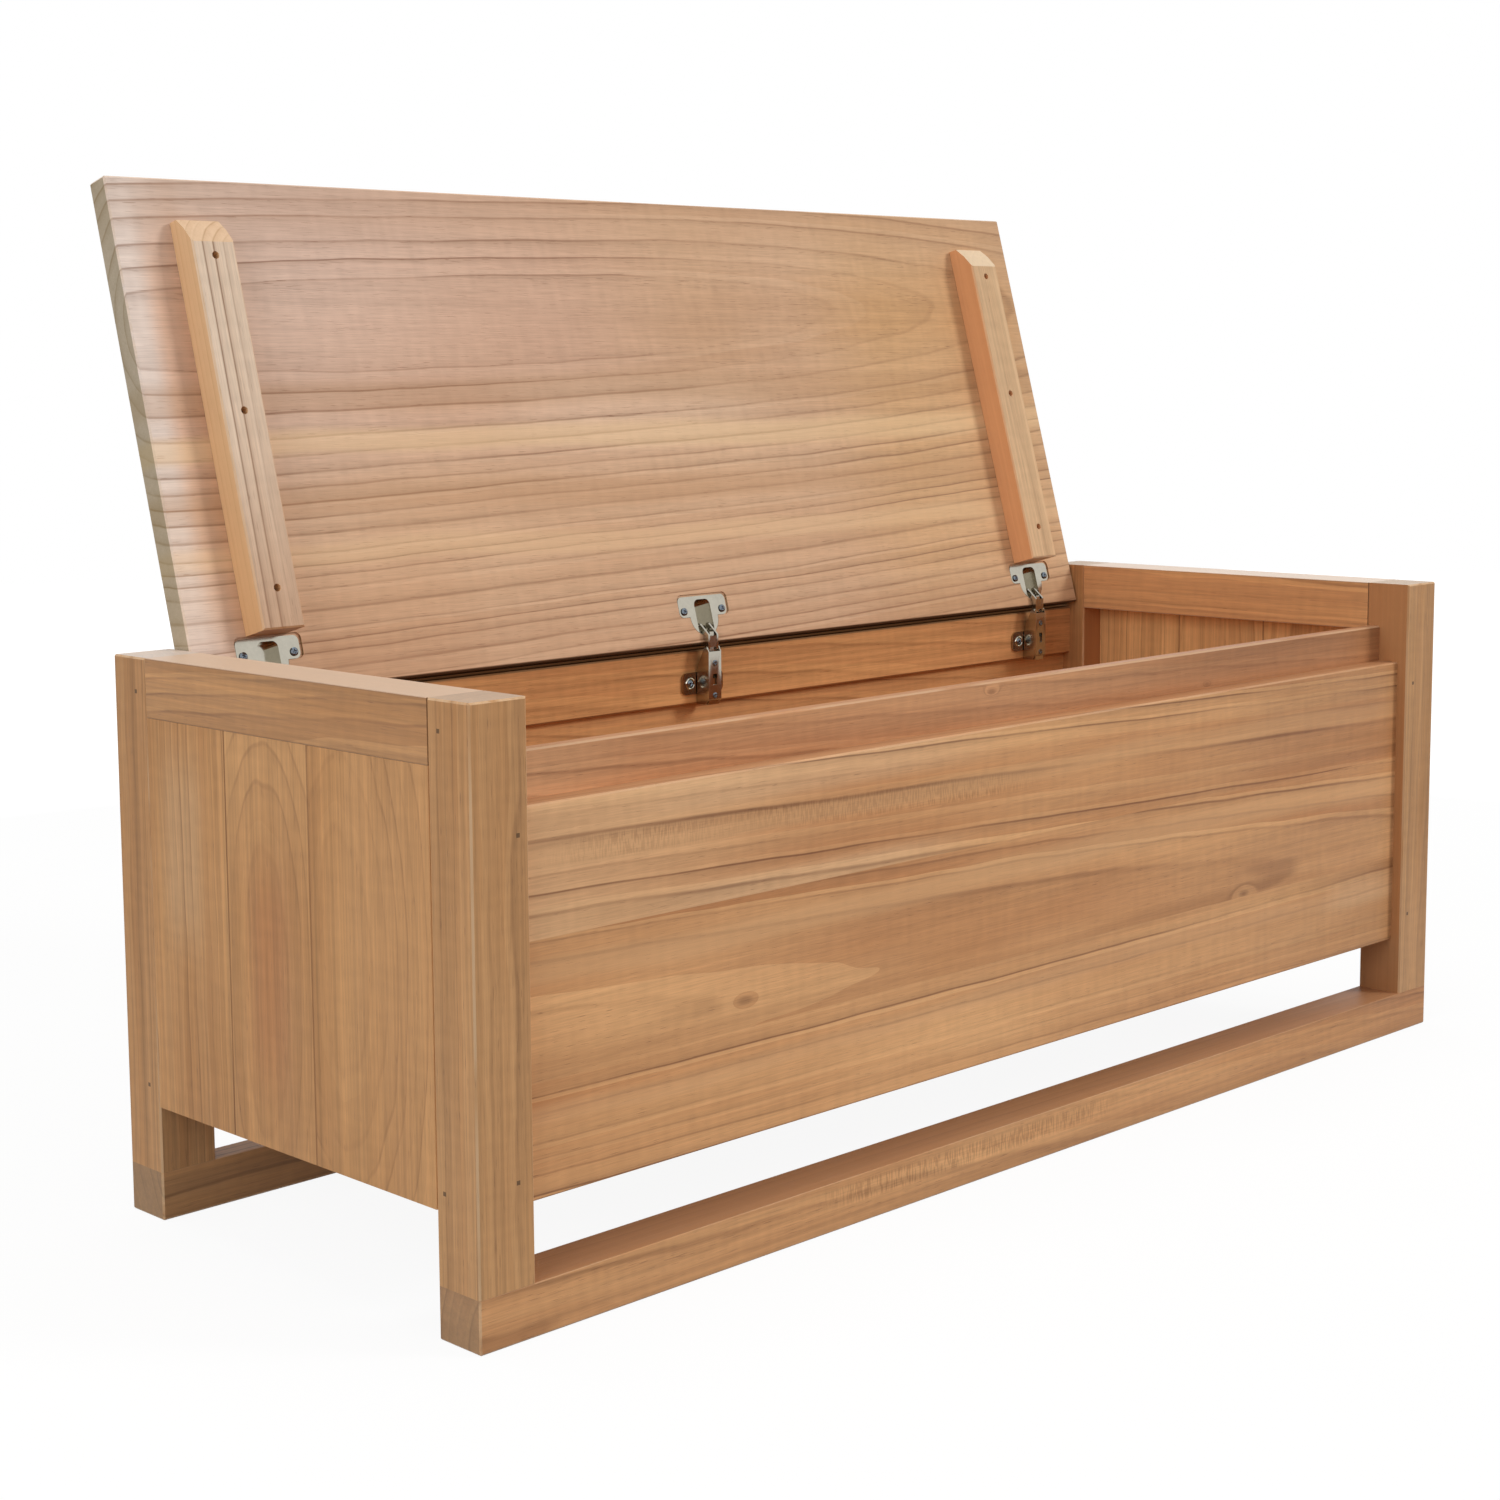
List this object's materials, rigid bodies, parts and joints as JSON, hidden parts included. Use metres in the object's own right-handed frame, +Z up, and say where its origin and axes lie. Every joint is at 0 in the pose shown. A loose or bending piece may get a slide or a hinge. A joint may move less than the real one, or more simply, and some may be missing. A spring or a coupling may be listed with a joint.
{
  "type": "blanket chest",
  "caption": "Low wooden storage chest on open long feet, with a flush lid between its end frames that stands open on concealed cup hinges.",
  "frame": {"origin": "on the floor, under the middle of the box that the chest fills with its lid standing open", "axes": "+X along the chest to the right, +Y from the front to the back, +Z up"},
  "size_m": [1.2, 0.5204, 0.7998],
  "materials": {
    "frame_wood": "oiled satin, straight grain",
    "panel_wood": "oiled satin, cathedral grain",
    "lid_wood": "oiled satin, wide board grain",
    "inner_wood": "oiled satin",
    "nickel": "nickel plate, satin",
    "screw_steel": "zinc plate"
  },
  "bodies": {
    "chest": {"front_left_post": "frame_wood", "front_right_post": "frame_wood", "back_left_post": "frame_wood", "back_right_post": "frame_wood", "front_bottom_rail": "frame_wood", "back_bottom_rail": "frame_wood", "left_top_rail": "frame_wood", "right_top_rail": "frame_wood", "left_end_board_1": "panel_wood", "left_end_board_2": "panel_wood", "left_end_board_3": "panel_wood", "right_end_board_1": "panel_wood", "right_end_board_2": "panel_wood", "right_end_board_3": "panel_wood", "front_board_1": "panel_wood", "front_board_2": "panel_wood", "front_board_3": "panel_wood", "front_lid_rail": "panel_wood", "back_top_rail": "inner_wood", "back_panel": "inner_wood", "floor_panel": "inner_wood", "front_floor_cleat": "inner_wood", "back_floor_cleat": "inner_wood", "left_hinge_plate": "nickel", "middle_hinge_plate": "nickel", "right_hinge_plate": "nickel", "left_hinge_arm": "nickel", "middle_hinge_arm": "nickel", "right_hinge_arm": "nickel", "left_plate_screw_1": "screw_steel", "left_plate_screw_2": "screw_steel", "middle_plate_screw_1": "screw_steel", "middle_plate_screw_2": "screw_steel", "right_plate_screw_1": "screw_steel", "right_plate_screw_2": "screw_steel"},
    "outer_links": {"left_outer_link": "nickel", "middle_outer_link": "nickel", "right_outer_link": "nickel"},
    "lid": {"lid_panel": "lid_wood", "left_lid_batten": "frame_wood", "right_lid_batten": "frame_wood", "left_batten_screw_1": "screw_steel", "left_batten_screw_2": "screw_steel", "left_batten_screw_3": "screw_steel", "right_batten_screw_1": "screw_steel", "right_batten_screw_2": "screw_steel", "right_batten_screw_3": "screw_steel", "left_hinge_cup": "nickel", "middle_hinge_cup": "nickel", "right_hinge_cup": "nickel", "left_cup_screw_1": "screw_steel", "left_cup_screw_2": "screw_steel", "middle_cup_screw_1": "screw_steel", "middle_cup_screw_2": "screw_steel", "right_cup_screw_1": "screw_steel", "right_cup_screw_2": "screw_steel"},
    "inner_links": {"left_inner_link": "nickel", "middle_inner_link": "nickel", "right_inner_link": "nickel"}
  },
  "joints": [
    {"name": "lid_hinge", "type": "hinge", "parent": "outer_links", "child": "lid", "pos_m": [0, 0.13574, 0.41279], "axis": [1, 0, 0], "range_deg": [0, 155.2]},
    {"name": "outer_link_pivot", "type": "hinge", "parent": "chest", "child": "outer_links", "pos_m": [0, 0.12531, 0.39212], "axis": [1, 0, 0], "range_deg": [-49.85, 0]},
    {"name": "inner_link_pivot", "type": "hinge", "parent": "lid", "child": "inner_links", "pos_m": [0, 0.13586, 0.40757], "axis": [1, 0, 0], "range_deg": [-134.5, 0]}
  ],
  "couplings": [
    {"joint": "outer_link_pivot", "follows": "lid_hinge", "ratio": -0.32089},
    {"joint": "inner_link_pivot", "follows": "lid_hinge", "ratio": -0.86623}
  ]
}
